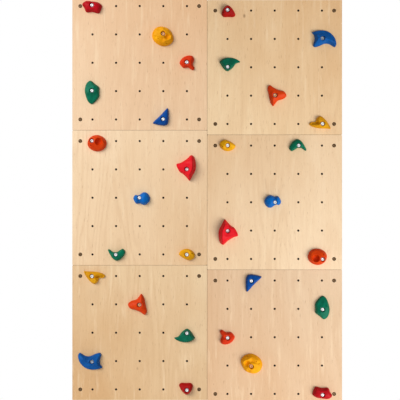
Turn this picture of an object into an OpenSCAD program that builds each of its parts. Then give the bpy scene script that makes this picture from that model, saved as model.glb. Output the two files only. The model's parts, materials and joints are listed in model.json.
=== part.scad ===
/* [Panels] */
// Width of one plywood panel
panel_w = 600; // [560:1:720]
// Height of one plywood panel
panel_h = 600; // [580:1:720]
// Thickness of the plywood
panel_t = 18; // [15:0.5:22]
// Gap between neighbouring panels
seam = 1; // [0.5:0.5:3]
// Radius of a panel's corners, seen from the front
panel_corner_r = 3; // [1:0.5:6]
// How much lower the right column of panels hangs than the left one
column_step = 20; // [0:1:60]

/* [Socket grid] */
// Distance between socket columns
grid_x = 105; // [100:1:115]
// Distance between socket rows
grid_z = 126; // [105:1:132]
// Diameter of the drilling that a socket's barrel sits in
socket_hole_d = 10; // [9.5:0.1:11]

/* [T-nuts] */
// Diameter of the flange on the back of the panel
tnut_flange_d = 22; // [19:0.5:26]
// Thickness of the flange
tnut_flange_t = 1.5; // [1:0.1:2]
// Length of the barrel inside the panel
tnut_barrel_l = 11; // [8:0.5:13]
// Clearance round the barrel
tnut_clearance = 0.05; // [0.03:0.01:0.1]

/* [Hold bolts] */
// Diameter of the bolt's shank
bolt_d = 8; // [6:0.5:8]
// Diameter of the socket head
bolt_head_d = 13; // [12:0.5:15]
// Height of the socket head
bolt_head_h = 8; // [6:0.5:8]
// Length of the bolt under its head
bolt_l = 35; // [33:1:36]
// Width of the hexagon socket across its flats
bolt_key = 6; // [5:0.5:7]
// Depth of the hexagon socket
bolt_key_depth = 4; // [3:0.5:5]
// Clearance round the shank where its thread runs in the T-nut
thread_clearance = 0.05; // [0.03:0.01:0.1]
// Outer diameter of the washer under the head
washer_d = 16; // [15:0.5:17]
// Thickness of the washer
washer_t = 1.6; // [1:0.1:2]

/* [Holds] */
// Material left between the washer and the panel
hold_floor = 12; // [10:0.5:13]
// Diameter of the recess that takes the bolt's head
recess_d = 20; // [19:0.5:24]
// Diameter of the bolt's bore in a hold
hold_bore_d = 9; // [8.6:0.1:10]
// Diameter of the small hole that takes an anti-turn screw
pin_hole_d = 4; // [3:0.5:5]
// Depth of the finger pocket
pocket_depth = 22; // [15:1:24]
// Diameter of the finger pocket
pocket_d = 32; // [28:1:34]

/* [Battens] */
// Thickness of a batten, which is the space behind the panels
batten_t = 28; // [24:1:40]
// Width of the two outer battens
outer_batten_w = 70; // [60:1:72]
// Width of the batten behind the middle seam
middle_batten_w = 120; // [100:1:136]
// Distance between the wall screws along a batten
wall_screw_pitch = 400; // [380:1:410]
// Diameter of a wall screw's hole
wall_screw_hole_d = 7; // [6:0.5:8]
// Diameter of the countersink of a wall screw's hole
wall_screw_sink_d = 14; // [12:0.5:16]

/* [Panel screws] */
// Distance of a panel screw from the panel's side edge
screw_inset_x = 36; // [30:1:40]
// Diameter of the screw's flanged head
screw_head_d = 15; // [12:0.5:16]
// Height of the flanged head
screw_head_h = 3; // [2:0.5:4]
// Diameter of the screw's shank
screw_d = 6; // [5:0.5:6.5]
// Length of the screw under its head
screw_l = 35; // [30:1:36]
// Diameter of the recess round the head
screw_recess_d = 17; // [16.5:0.5:20]
// Depth of the recess round the head
screw_recess_depth = 5; // [4:0.5:6]
// Width of the hexagon socket of a panel screw across its flats
screw_key = 5; // [4:0.5:5]
// Clearance round the shank in the panel
screw_clearance = 0.25; // [0.2:0.05:0.5]

/* [Hidden] */
$fn = 48;
columns = 2;
rows = 3;
grid_n = 5;
overlap = 1;
wall_w = columns * panel_w;
front_y = -batten_t - panel_t;
back_y = -batten_t;
batten_l = rows * panel_h - column_step;
grid_margin_z = (panel_h - (grid_n - 1) * grid_z) / 2;
wall_screw_rows = 5;
key_d = bolt_key / cos(30);
screw_key_d = screw_key / cos(30);

// Smoothness of the holds
outline_points = 34;
ring_scales = [0.96, 0.88, 0.76, 0.6, 0.4, 0.2];
edge_h = 2.5;
side_slope = 2.2;
ridge_blend = 2.2;

PANEL_ROWS = ["top", "middle", "bottom"];
SIDES = ["left", "right"];
BATTENS = ["left_batten", "middle_batten", "right_batten"];

// Each hold of the left column: name, colour, panel row, grid column, grid row (from the top left), its
// middle, faces [height at the bolt, slope to the right, slope upwards], hollows [x, z, radius, depth],
// anti-turn screw holes [x, z], and the outline's corners about the bolt. The right column holds the
// same shapes turned half round.
HOLDS = [
    ["red_wedge", "crimson", 0, 1, 1, [-2, -4],
        [[30, 0, -0.55], [30, 0, 0.3], [36, -0.35, 0], [36, 0.35, 0]], [], [],
        [[-45, 8], [-28, 22], [0, 20], [24, 16], [42, 2], [36, -22], [27, -33], [0, -27], [-26, -28], [-36, -10]]],
    ["yellow_disc", "goldenrod", 0, 4, 2, [-2, -10],
        [[32, 0.1, -0.2], [32, -0.2, 0.25]], [[16, -20, 24, 13]], [[-22, -22], [16, -44]],
        [[-50, -8], [-40, 22], [-12, 35], [26, 22], [45, -16], [32, -43], [-2, -53], [-36, -36]]],
    ["orange_knob", "orangered", 0, 5, 3, [0, 0],
        [[28, 0, -0.25], [26, 0.1, 0.3], [34, -0.5, 0.1]], [], [],
        [[-32, -4], [-27, 12], [-14, 25], [6, 32], [25, 29], [32, 14], [26, -6], [34, -25], [24, -33],
         [4, -22], [-16, -23]]],
    ["green_oval", "seagreen", 0, 1, 4, [-1, -6],
        [[30, 0.35, -0.12], [32, -0.45, 0.1], [31, 0, 0.25]], [], [],
        [[-8, 46], [12, 31], [29, 18], [30, -3], [30, -24], [14, -46], [-3, -58], [-19, -47], [-30, -20],
         [-34, 6], [-26, 34]]],
    ["blue_triangle", "royalblue", 0, 4, 5, [4, -4],
        [[24, 0.1, -0.22], [26, -0.35, -0.05]], [], [],
        [[19, 50], [23, 34], [24, 5], [20, -18], [8, -27], [-14, -26], [-40, -20], [-45, -13], [-14, 17],
         [8, 41]]],
    ["orange_pocket", "orangered", 1, 1, 1, [16, -8],
        [[31, 0.08, -0.1], [36, -0.1, 0.25]], [], [[-4, -20]],
        [[-22, -12], [-15, 10], [4, 24], [28, 26], [52, 14], [63, -8], [55, -32], [34, -45], [8, -44],
         [-13, -32]]],
    ["red_fin", "red", 1, 5, 2, [4, 4],
        [[42, 0.25, 0.05], [52, -0.6, 0.1], [50, 0.4, -0.35], [44, 0.3, 0.55]], [], [],
        [[-47, 21], [-27, 30], [0, 47], [18, 63], [32, 54], [39, 28], [38, -2], [24, -30], [12, -50],
         [0, -38], [-18, -20], [-33, -10]]],
    ["blue_bean", "dodgerblue", 1, 3, 3, [5, -6],
        [[26, 0.4, 0.15], [28, 0.12, -0.35], [42, -0.45, 0]], [[-6, 16, 14, 9], [-3, -30, 14, 8]], [],
        [[-28, -4], [-20, 12], [-4, 11], [16, 24], [34, 20], [46, 0], [40, -20], [20, -32], [0, -25],
         [-16, -26]]],
    ["green_crescent", "seagreen", 1, 2, 5, [3, -6],
        [[27, 0.05, -0.4], [25, 0, 0.35], [34, -0.45, 0], [34, 0.45, 0]], [], [],
        [[-36, 20], [-28, 22], [-14, 12], [3, 11], [18, 20], [31, 25], [41, 12], [35, -5], [22, -20],
         [4, -28], [-13, -20], [-27, 0]]],
    ["yellow_oval", "goldenrod", 1, 5, 5, [0, -1],
        [[26, 0.12, -0.3], [28, -0.2, 0.35]], [], [[23, 6]],
        [[-36, 2], [-26, 17], [-4, 25], [18, 20], [34, 3], [32, -15], [12, -26], [-10, -19], [-28, -8]]],
    ["yellow_fork", "goldenrod", 2, 1, 1, [4, 2],
        [[28, 0.02, -0.3], [28, 0.25, 0.3], [36, -0.45, 0.05]], [[26, -6, 20, 9]], [[-29, 15]],
        [[-38, 20], [-20, 21], [16, 19], [42, 13], [57, 2], [48, -8], [30, -10], [24, -25], [9, -35],
         [-8, -26], [-26, -5]]],
    ["orange_spur", "orangered", 2, 3, 2, [2, -2],
        [[32, 0.3, -0.28], [34, -0.55, 0.05], [30, 0.1, 0.4]], [], [],
        [[8, 47], [19, 30], [26, 0], [32, -32], [22, -46], [4, -35], [-18, -25], [-42, -18], [-52, 1],
         [-38, 15], [-14, 23], [-1, 38]]],
    ["green_bird", "seagreen", 2, 5, 3, [3, -10],
        [[30, 0.1, -0.4], [28, 0.25, 0.3], [38, -0.45, 0.05]], [], [],
        [[-56, -22], [-38, -16], [-22, 4], [0, 18], [18, 6], [28, -11], [35, -22], [22, -36], [0, -42],
         [-26, -40], [-46, -32]]],
    ["blue_flag", "royalblue", 2, 1, 4, [-10, -3],
        [[34, -0.02, -0.42], [28, 0.16, 0.5], [44, -0.35, -0.1], [44, 0.45, 0.1]], [], [],
        [[-55, 37], [-34, 25], [-12, 22], [12, 32], [32, 37], [40, 28], [33, 6], [35, -14], [44, -28],
         [16, -37], [-16, -36], [-40, -24], [-58, -2], [-64, 24]]],
    ["red_shield", "firebrick", 2, 5, 5, [-4, 4],
        [[28, 0, -0.3], [32, 0, 0.35], [36, -0.5, 0], [34, 0.5, 0]], [], [],
        [[-35, 17], [-26, 29], [-4, 29], [16, 29], [26, 18], [20, -6], [0, -23], [-20, -10]]],
];

// Centre of a panel of the left column, and of one socket in it
function panel_z(row) = column_step / 2 + (1 - row) * panel_h;
function socket_x(col) = -panel_w / 2 + (col - (grid_n + 1) / 2) * grid_x;
function socket_z(row, grid_row) = panel_z(row) - (grid_row - (grid_n + 1) / 2) * grid_z;

// Sum of a list
function total(v, i = 0) = i < len(v) ? v[i] + total(v, i + 1) : 0;

// A smooth closed curve through an outline's corners
function curve(p0, p1, p2, p3, t) =
    (2 * p1 + (p2 - p0) * t + (2 * p0 - 5 * p1 + 4 * p2 - p3) * t * t
     + (3 * p1 - p0 - 3 * p2 + p3) * t * t * t) / 2;
function outline(corners) =
    let (n = len(corners), steps = round(outline_points / n))
    [for (i = [0 : n - 1], j = [0 : steps - 1])
        curve(corners[(i + n - 1) % n], corners[i], corners[(i + 1) % n], corners[(i + 2) % n], j / steps)];

// Distance from a point to a closed outline
function to_side(p, a, b) =
    let (ab = b - a, t = max(0, min(1, (p - a) * ab / (ab * ab)))) norm(p - a - t * ab);
function to_edge(p, loop) =
    min([for (i = [0 : len(loop) - 1]) to_side(p, loop[i], loop[(i + 1) % len(loop)])]);

// Height of a hold over the panel: the lowest of its faces and its steep side, blended, less its hollows
function softest(v) = -ridge_blend * ln(total([for (h = v) exp(-h / ridge_blend)]));
function hollow(p, h) = let (u = norm(p - [h[0], h[1]]) / h[2]) u < 1 ? h[3] * pow(1 - u * u, 2) : 0;
function relief(p, faces, hollows, loop) =
    max(edge_h, softest(concat([edge_h + ridge_blend + side_slope * to_edge(p, loop)],
                               [for (f = faces) f[0] + f[1] * p[0] + f[2] * p[1]]))
                - total([for (h = hollows) hollow(p, h)]));

// The closed body of a hold: its rim on the panel, then rings that rise to its middle
module hold_body(corners, middle, faces, hollows) {
    loop = outline(corners);
    n = len(loop);
    rim = [for (p = loop) [p[0], p[1], 0]];
    lip = [for (p = loop) [p[0], p[1], edge_h]];
    rings = [for (s = ring_scales, p = loop)
        let (q = middle + s * (p - middle)) [q[0], q[1], relief(q, faces, hollows, loop)]];
    levels = len(ring_scales) + 2;
    top = [middle[0], middle[1], relief(middle, faces, hollows, loop)];
    bottom = [middle[0], middle[1], 0];
    polyhedron(
        points = concat(rim, lip, rings, [top, bottom]),
        faces = concat(
            [for (k = [0 : levels - 2], i = [0 : n - 1]) [(k + 1) * n + i, k * n + i, k * n + (i + 1) % n]],
            [for (k = [0 : levels - 2], i = [0 : n - 1])
                [(k + 1) * n + (i + 1) % n, (k + 1) * n + i, k * n + (i + 1) % n]],
            [for (i = [0 : n - 1]) [levels * n, (levels - 1) * n + i, (levels - 1) * n + (i + 1) % n]],
            [for (i = [0 : n - 1]) [levels * n + 1, (i + 1) % n, i]]
        ));
}

// The finger pocket: a straight well with a round bottom
module finger_pocket(top_h) {
    well_bottom = top_h - pocket_depth + pocket_d / 2;
    translate([0, 0, well_bottom]) cylinder(d = pocket_d, h = top_h);
    translate([0, 0, well_bottom]) sphere(d = pocket_d);
}

// A point on the front of the panels, with the local z axis pointing out of the wall
module on_front(x, z) translate([x, front_y, z]) rotate([90, 0, 0]) children();

// The right column is the left one turned half round about the middle of the wall
module on_side(side) rotate([0, side == "right" ? 180 : 0, 0]) children();

// One resin hold with its recess, its bolt bore and its anti-turn screw holes
module hold(h) {
    color(h[1]) on_front(socket_x(h[3]), socket_z(h[2], h[4])) difference() {
        hold_body(h[9], h[5], h[6], h[7]);
        translate([0, 0, -overlap]) cylinder(d = hold_bore_d, h = hold_floor + 2 * overlap);
        translate([0, 0, hold_floor]) cylinder(d = recess_d, h = 60);
        for (p = h[8]) translate([p[0], p[1], -overlap]) cylinder(d = pin_hole_d, h = 60);
        if (h[0] == "orange_pocket") translate([30, -4, 0]) finger_pocket(31);
    }
}

// A birch plywood panel, drilled for its sockets and its corner screws
module panel(row) {
    w = panel_w - seam;
    l = panel_h - seam;
    color("burlywood") translate([-panel_w / 2, back_y, panel_z(row)]) rotate([90, 0, 0])
    difference() {
        linear_extrude(panel_t) difference() {
            square([w, l], center = true);
            for (sx = [-1, 1], sy = [-1, 1]) translate([sx * w / 2, sy * l / 2]) difference() {
                square(2 * panel_corner_r, center = true);
                translate([-sx * panel_corner_r, -sy * panel_corner_r]) circle(panel_corner_r);
            }
        }
        for (i = [1 : grid_n], j = [1 : grid_n])
            translate([socket_x(i) + panel_w / 2, socket_z(row, j) - panel_z(row), -overlap])
                cylinder(d = socket_hole_d, h = panel_t + 2 * overlap);
        for (sx = [-1, 1], sy = [-1, 1])
            translate([sx * (panel_w / 2 - screw_inset_x), sy * (panel_h / 2 - grid_margin_z), 0]) {
                translate([0, 0, -overlap])
                    cylinder(d = screw_d + 2 * screw_clearance, h = panel_t + 2 * overlap);
                translate([0, 0, panel_t - screw_recess_depth])
                    cylinder(d = screw_recess_d, h = screw_recess_depth + overlap);
            }
    }
}

// A T-nut: a flange on the back of the panel and a threaded barrel inside it
module tnut() {
    difference() {
        union() {
            translate([0, 0, -panel_t - tnut_flange_t]) cylinder(d = tnut_flange_d, h = tnut_flange_t);
            translate([0, 0, -panel_t - tnut_flange_t / 2])
                cylinder(d = socket_hole_d - 2 * tnut_clearance, h = tnut_barrel_l + tnut_flange_t / 2);
        }
        translate([0, 0, -panel_t - tnut_flange_t - overlap])
            cylinder(d = bolt_d + 2 * thread_clearance, h = tnut_barrel_l + tnut_flange_t + 2 * overlap);
    }
}

module tnuts(row) {
    color("silver") for (i = [1 : grid_n], j = [1 : grid_n])
        on_front(socket_x(i), socket_z(row, j)) tnut();
}

// A socket head bolt that clamps a hold, with its head on the washer
module hold_bolt() {
    head_z = hold_floor + washer_t;
    difference() {
        union() {
            translate([0, 0, head_z]) cylinder(d = bolt_head_d, h = bolt_head_h);
            translate([0, 0, head_z - bolt_l]) cylinder(d = bolt_d, h = bolt_l + overlap);
        }
        translate([0, 0, head_z + bolt_head_h - bolt_key_depth])
            cylinder(d = key_d, h = bolt_key_depth + overlap, $fn = 6);
    }
}

module hold_bolts(row) {
    color("gainsboro") for (h = HOLDS) if (h[2] == row)
        on_front(socket_x(h[3]), socket_z(row, h[4])) hold_bolt();
}

module hold_washers() {
    color("lightgray") for (s = SIDES, h = HOLDS)
        on_side(s) on_front(socket_x(h[3]), socket_z(h[2], h[4]))
            translate([0, 0, hold_floor]) difference() {
                cylinder(d = washer_d, h = washer_t);
                translate([0, 0, -overlap]) cylinder(d = hold_bore_d, h = washer_t + 2 * overlap);
            }
}

// A flanged wood screw that holds a panel's corner to a batten
module panel_screw() {
    seat_z = -screw_recess_depth;
    difference() {
        union() {
            translate([0, 0, seat_z]) cylinder(d = screw_head_d, h = screw_head_h);
            translate([0, 0, seat_z - screw_l]) cylinder(d = screw_d, h = screw_l + overlap);
        }
        translate([0, 0, seat_z + screw_head_h / 3])
            cylinder(d = screw_key_d, h = screw_head_h, $fn = 6);
    }
}

module panel_screws(row) {
    color("dimgray") for (sx = [-1, 1], sz = [-1, 1])
        on_front(-panel_w / 2 + sx * (panel_w / 2 - screw_inset_x),
                 panel_z(row) + sz * (panel_h / 2 - grid_margin_z)) panel_screw();
}

// A batten between the building's wall and the panels, from its middle line outwards
module batten(x, w) {
    color("tan") difference() {
        translate([x - w / 2, -batten_t, -batten_l / 2]) cube([w, batten_t, batten_l]);
        for (side = [-1, 1], column = [-1, 1], row = [0 : rows - 1], sz = [-1, 1])
            let (sx = column * panel_w / 2 + side * (panel_w / 2 - screw_inset_x))
                if (abs(sx - x) < w / 2)
                    on_front(sx, -column * (panel_z(row) + sz * (panel_h / 2 - grid_margin_z)))
                        translate([0, 0, -screw_recess_depth - screw_l - overlap])
                            cylinder(d = screw_d + 2 * thread_clearance, h = screw_l);
        for (k = [0 : wall_screw_rows - 1])
            translate([x, 0, (k - (wall_screw_rows - 1) / 2) * wall_screw_pitch]) rotate([90, 0, 0]) {
                sink_h = (wall_screw_sink_d - wall_screw_hole_d) / 2;
                translate([0, 0, -overlap])
                    cylinder(d = wall_screw_hole_d, h = batten_t + 2 * overlap);
                translate([0, 0, batten_t - sink_h])
                    cylinder(d1 = wall_screw_hole_d, d2 = wall_screw_sink_d, h = sink_h);
            }
    }
}

for (s = SIDES, r = [0 : rows - 1]) {
    name = str(s, "_", PANEL_ROWS[r]);
    place = s == "left" ? r : rows - 1 - r;
    on_side(s) panel(place);
    on_side(s) tnuts(place);
    on_side(s) hold_bolts(place);
    on_side(s) panel_screws(place);
}
batten(-(wall_w - outer_batten_w) / 2, outer_batten_w);  // left_batten
batten(0, middle_batten_w);  // middle_batten
batten((wall_w - outer_batten_w) / 2, outer_batten_w);  // right_batten
hold_washers();
for (s = SIDES, h = HOLDS)
    on_side(s) hold(h);
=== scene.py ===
# %% [markdown]
# # A children's climbing wall
#
# The real wall is a set of square birch plywood panels on battens. Behind every hole in a panel sits a
# T-nut, and moulded resin holds are bolted into some of them. The CAD model already has every size and
# place, so this lesson loads it first, reads what it needs from it, and then makes each piece look like
# the real thing.

# %% Load the CAD frame
import json
import math

import bmesh
import bpy
import numpy as np
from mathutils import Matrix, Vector
from mathutils.geometry import delaunay_2d_cdt
from mathutils.noise import fractal


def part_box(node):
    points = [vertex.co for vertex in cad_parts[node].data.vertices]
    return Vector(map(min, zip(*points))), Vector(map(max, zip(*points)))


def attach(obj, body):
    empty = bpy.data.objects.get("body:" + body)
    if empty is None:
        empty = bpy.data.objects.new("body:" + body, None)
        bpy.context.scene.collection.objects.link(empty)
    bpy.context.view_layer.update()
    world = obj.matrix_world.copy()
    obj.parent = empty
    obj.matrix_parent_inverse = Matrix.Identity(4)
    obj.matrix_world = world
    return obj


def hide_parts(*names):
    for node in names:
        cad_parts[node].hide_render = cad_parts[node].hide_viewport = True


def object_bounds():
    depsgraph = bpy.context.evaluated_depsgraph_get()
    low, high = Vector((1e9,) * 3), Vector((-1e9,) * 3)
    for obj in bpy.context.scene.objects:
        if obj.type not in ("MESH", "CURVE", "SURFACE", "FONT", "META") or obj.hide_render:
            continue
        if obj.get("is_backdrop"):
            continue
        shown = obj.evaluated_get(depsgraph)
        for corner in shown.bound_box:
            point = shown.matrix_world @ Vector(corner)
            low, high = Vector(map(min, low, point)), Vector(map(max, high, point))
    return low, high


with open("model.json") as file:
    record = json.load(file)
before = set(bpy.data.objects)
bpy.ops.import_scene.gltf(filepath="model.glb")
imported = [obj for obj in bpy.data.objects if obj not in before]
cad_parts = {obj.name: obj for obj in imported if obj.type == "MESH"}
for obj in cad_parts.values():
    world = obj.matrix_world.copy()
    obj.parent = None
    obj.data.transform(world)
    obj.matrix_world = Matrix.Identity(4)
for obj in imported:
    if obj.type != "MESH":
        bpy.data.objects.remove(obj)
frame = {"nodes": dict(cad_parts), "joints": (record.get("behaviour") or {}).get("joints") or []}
cad_low, cad_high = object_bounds()
MM = 0.001
SIDES = ("left", "right")
ROWS = ("top", "middle", "bottom")
PANELS = [f"{side}_{row}" for side in SIDES for row in ROWS]
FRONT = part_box("left_top_panel")[0].y
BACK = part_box("left_top_panel")[1].y
print("wall box in metres:", [round(v, 3) for v in (*cad_low, *cad_high)])
print("the panels' front is at y =", round(FRONT, 4))

# %% [markdown]
# ## Where things are
#
# Each hold turns about its own bolt, so the joints in the record say where the bolts are. The sockets
# form a grid in each panel, and the box round a panel's T-nuts gives the grid's pitch once the flange's
# diameter is taken off.

# %% Read the bolts and the grids
BOLT_AT = {joint["child"]: Vector(joint["pos_m"]) for joint in frame["joints"]}
SOCKETS_ACROSS = 5
FLANGE_D = 22 * MM
SCREW_HEAD_D = 15 * MM


def grid_of(node, piece_d):
    """The centre and the size of the grid of equal round pieces in a CAD node."""
    low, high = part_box(node)
    return (low + high) / 2, Vector((high.x - low.x - piece_d, 0, high.z - low.z - piece_d))


centre, size = grid_of("left_top_tnuts", FLANGE_D)
pitch = size / (SOCKETS_ACROSS - 1)
print(len(BOLT_AT), "bolts; socket pitch", round(pitch.x / MM, 1), "by", round(pitch.z / MM, 1), "mm")

# %% [markdown]
# ## Camera
#
# The wall is looked at squarely from four metres with a long lens, so its edges stay parallel. The frame
# is a little lower than the wall, so the top and the bottom are just cropped.

# %% Set the camera
CAMERA_DISTANCE = 4.0
FRAME_HEIGHT = 1.778
CAMERA_SIDE = -0.032

camera_data = bpy.data.cameras.new("camera")
camera_data.lens = camera_data.sensor_width * CAMERA_DISTANCE / FRAME_HEIGHT
camera = bpy.data.objects.new("camera", camera_data)
camera.location = (CAMERA_SIDE, FRONT - CAMERA_DISTANCE, 0)
camera.rotation_euler = (math.radians(90), 0, 0)
bpy.context.scene.collection.objects.link(camera)
bpy.context.scene.camera = camera
print("lens", round(camera_data.lens, 1), "mm")

# %% [markdown]
# ## Light
#
# A soft lamp up on the left, some forty degrees off the camera's line, gives every hold a light side, a dark
# side and a soft shadow. The right column is the left one turned by half a turn, so it has its own lamp,
# turned in the same way, and both columns show their holds' shapes equally well. Light linking keeps each
# lamp to its own column. The camera sees the sky as plain white, while the sky that lights the wall is much
# dimmer, so that the colours keep their depth. A weaker lamp lights the back.

# %% Set the lights
KEY_WAY = Vector((-4.4, -5.6, 3.1))
KEY_SIZE = 4.6
KEY_POWER = 525
KEY_COLOUR = (1.0, 0.985, 0.96)
BACK_LAMP_AT = (2.6, 5.0, 2.2)
BACK_LAMP_SIZE = 3.0
BACK_LAMP_POWER = 220


def area_light(name, place, aim, size_m, watts, colour=(1, 1, 1)):
    """A square lamp at a place, turned towards a point."""
    data = bpy.data.lights.new(name, "AREA")
    data.size = size_m
    data.energy = watts
    data.color = colour
    lamp = bpy.data.objects.new(name, data)
    lamp.location = place
    lamp.rotation_euler = (Vector(aim) - Vector(place)).to_track_quat("-Z", "Y").to_euler()
    bpy.context.scene.collection.objects.link(lamp)
    return lamp


def studio_sky(seen, lighting):
    """A white sky with one brightness for the camera and another for everything that it lights."""
    world = bpy.data.worlds.new("studio")
    world.use_nodes = True
    tree = world.node_tree
    rays = tree.nodes.new("ShaderNodeLightPath")
    strength = tree.nodes.new("ShaderNodeMapRange")
    strength.inputs["To Min"].default_value = lighting
    strength.inputs["To Max"].default_value = seen
    tree.links.new(rays.outputs["Is Camera Ray"], strength.inputs["Value"])
    tree.links.new(strength.outputs["Result"], tree.nodes["Background"].inputs["Strength"])
    tree.nodes["Background"].inputs["Color"].default_value = (1, 1, 1, 1)
    return world


def column_lamp(side):
    """The key lamp of one column, and the group of pieces that it lights and that shade each other."""
    low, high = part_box(f"{side}_middle_panel")
    sign = -1 if side == "right" else 1
    aim = Vector(((low.x + high.x) / 2, FRONT, 0))
    place = aim + Vector((sign * KEY_WAY.x, KEY_WAY.y, sign * KEY_WAY.z))
    lamp = area_light(f"{side}_key", place, aim, KEY_SIZE, KEY_POWER, KEY_COLOUR)
    group = bpy.data.collections.new(f"{side}_key_group")
    lamp.light_linking.receiver_collection = group
    lamp.light_linking.blocker_collection = group
    return group


bpy.context.scene.world = studio_sky(seen=1.0, lighting=0.38)
bpy.context.scene.view_settings.view_transform = "Standard"
lit_by = {side: column_lamp(side) for side in SIDES}
area_light("back", BACK_LAMP_AT, (0, BACK, 0), BACK_LAMP_SIZE, BACK_LAMP_POWER)

# %% [markdown]
# ## Floor
#
# The wall hangs on a building and doesn't stand on the ground. A plain pale floor some way below it shows
# which way is down and catches a soft shadow. It is staging, so the frame is told not to count it.

# %% Lay the floor
FLOOR_GAP = 0.45
FLOOR_SIZE = 4.0
FLOOR_COLOUR = (0.86, 0.86, 0.85, 1)
FLOOR_ROUGHNESS = 0.8


def floor():
    """A pale floor some way below the wall, which hangs above it and isn't part of it."""
    bpy.ops.mesh.primitive_plane_add(size=FLOOR_SIZE, location=(0, 0, cad_low.z - FLOOR_GAP))
    plane = bpy.context.object
    plane.name = "floor"
    material = bpy.data.materials.new("pale_floor")
    material.use_nodes = True
    shader = material.node_tree.nodes["Principled BSDF"]
    shader.inputs["Base Color"].default_value = FLOOR_COLOUR
    shader.inputs["Roughness"].default_value = FLOOR_ROUGHNESS
    plane.data.materials.append(material)
    lit_by["left"].objects.link(plane)
    plane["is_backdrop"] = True
    return plane


print("floor at z =", round(floor().location.z, 3))

# %% [markdown]
# ## A small kit for materials
#
# Every finish is a node tree. A few helpers keep the trees short to read: one turns everyday colour values
# into linear light, one makes a material with its shader, and one adds a node and fills its inputs.

# %% Helpers that make materials and nodes
def srgb(r, g, b):
    """A colour given as 0 to 255, as linear light."""
    def linear(c):
        c = c / 255
        return c / 12.92 if c <= 0.04045 else ((c + 0.055) / 1.055) ** 2.4
    return (linear(r), linear(g), linear(b), 1)


def new_material(name, roughness, metallic=0.0):
    """An empty material, its tree, its shader and its Object coordinates."""
    material = bpy.data.materials.new(name)
    material.use_nodes = True
    tree = material.node_tree
    shader = tree.nodes["Principled BSDF"]
    shader.inputs["Roughness"].default_value = roughness
    shader.inputs["Metallic"].default_value = metallic
    coords = tree.nodes.new("ShaderNodeTexCoord").outputs["Object"]
    return material, tree, shader, coords


def add(tree, kind, inputs=(), **settings):
    """Adds a node, sets its properties, and fills or links its inputs by name or number."""
    node = tree.nodes.new(kind)
    for key, value in settings.items():
        setattr(node, key, value)
    for key, value in dict(inputs).items():
        if isinstance(value, bpy.types.NodeSocket):
            tree.links.new(value, node.inputs[key])
        else:
            node.inputs[key].default_value = value
    return node


print("a grey of 128 is", round(srgb(128, 128, 128)[0], 3), "in linear light")

# %% [markdown]
# The other helpers add the few patterns and sums that wood, resin and steel share. All patterns read Object
# coordinates, which are metres here, so a scale is a number of features per metre, and a pattern that is
# stretched has its own scale along each axis.

# %% Helpers for patterns and sums
def stretched(tree, coords, scale, offset=(0, 0, 0)):
    """Coordinates with their own scale along each axis."""
    node = add(tree, "ShaderNodeMapping", {"Vector": coords, "Scale": scale, "Location": offset})
    return node.outputs["Vector"]


def noise(tree, vector, scale=1.0, detail=3.0, roughness=0.5, distortion=0.0):
    """A noise value from 0 to 1."""
    inputs = {"Vector": vector, "Scale": scale, "Detail": detail, "Roughness": roughness,
              "Distortion": distortion}
    return add(tree, "ShaderNodeTexNoise", inputs).outputs["Fac"]


def ramp(tree, value, low, high, to_low=0.0, to_high=1.0):
    """Maps low..high to other values, and keeps inside them."""
    inputs = {"Value": value, "From Min": low, "From Max": high, "To Min": to_low, "To Max": to_high}
    return add(tree, "ShaderNodeMapRange", inputs).outputs["Result"]


def mix(tree, factor, a, b):
    """Mixes two colours."""
    node = add(tree, "ShaderNodeMix", {"Factor": factor}, data_type="RGBA")
    for socket, value in ((node.inputs[6], a), (node.inputs[7], b)):
        if isinstance(value, bpy.types.NodeSocket):
            tree.links.new(value, socket)
        else:
            socket.default_value = value
    return node.outputs[2]


def maths(tree, operation, a, b=0.0):
    """One step of arithmetic."""
    return add(tree, "ShaderNodeMath", {0: a, 1: b}, operation=operation).outputs["Value"]


def bump(tree, shader, height, strength, distance):
    """Gives the shader a bump from a height."""
    inputs = {"Height": height, "Strength": strength, "Distance": distance}
    tree.links.new(add(tree, "ShaderNodeBump", inputs).outputs["Normal"], shader.inputs["Normal"])


def facing(tree, axis):
    """How squarely the surface faces along an axis, from 0 to 1."""
    geometry = tree.nodes.new("ShaderNodeNewGeometry")
    parts = add(tree, "ShaderNodeSeparateXYZ", {"Vector": geometry.outputs["Normal"]})
    return maths(tree, "ABSOLUTE", parts.outputs[axis])


patterns = (stretched, noise, ramp, mix, maths, bump, facing)
print("helpers:", [helper.__name__ for helper in patterns])

# %% [markdown]
# ## Backdrop
#
# The sockets and the seams go right through the panels, and on a real wall the dark gap in front of the
# building shows in them. A dark backdrop of painted shade stands in for the building in its shade there. It
# is seen only from its front, and no other light meets it, so it hides nothing of the wall's back.

# %% Stand a dark backdrop behind the panels
BACKDROP_INSET = 0.012
BACKDROP_GAP = 0.002
SHADOW_COLOUR = (0.03, 0.024, 0.02, 1)


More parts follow.
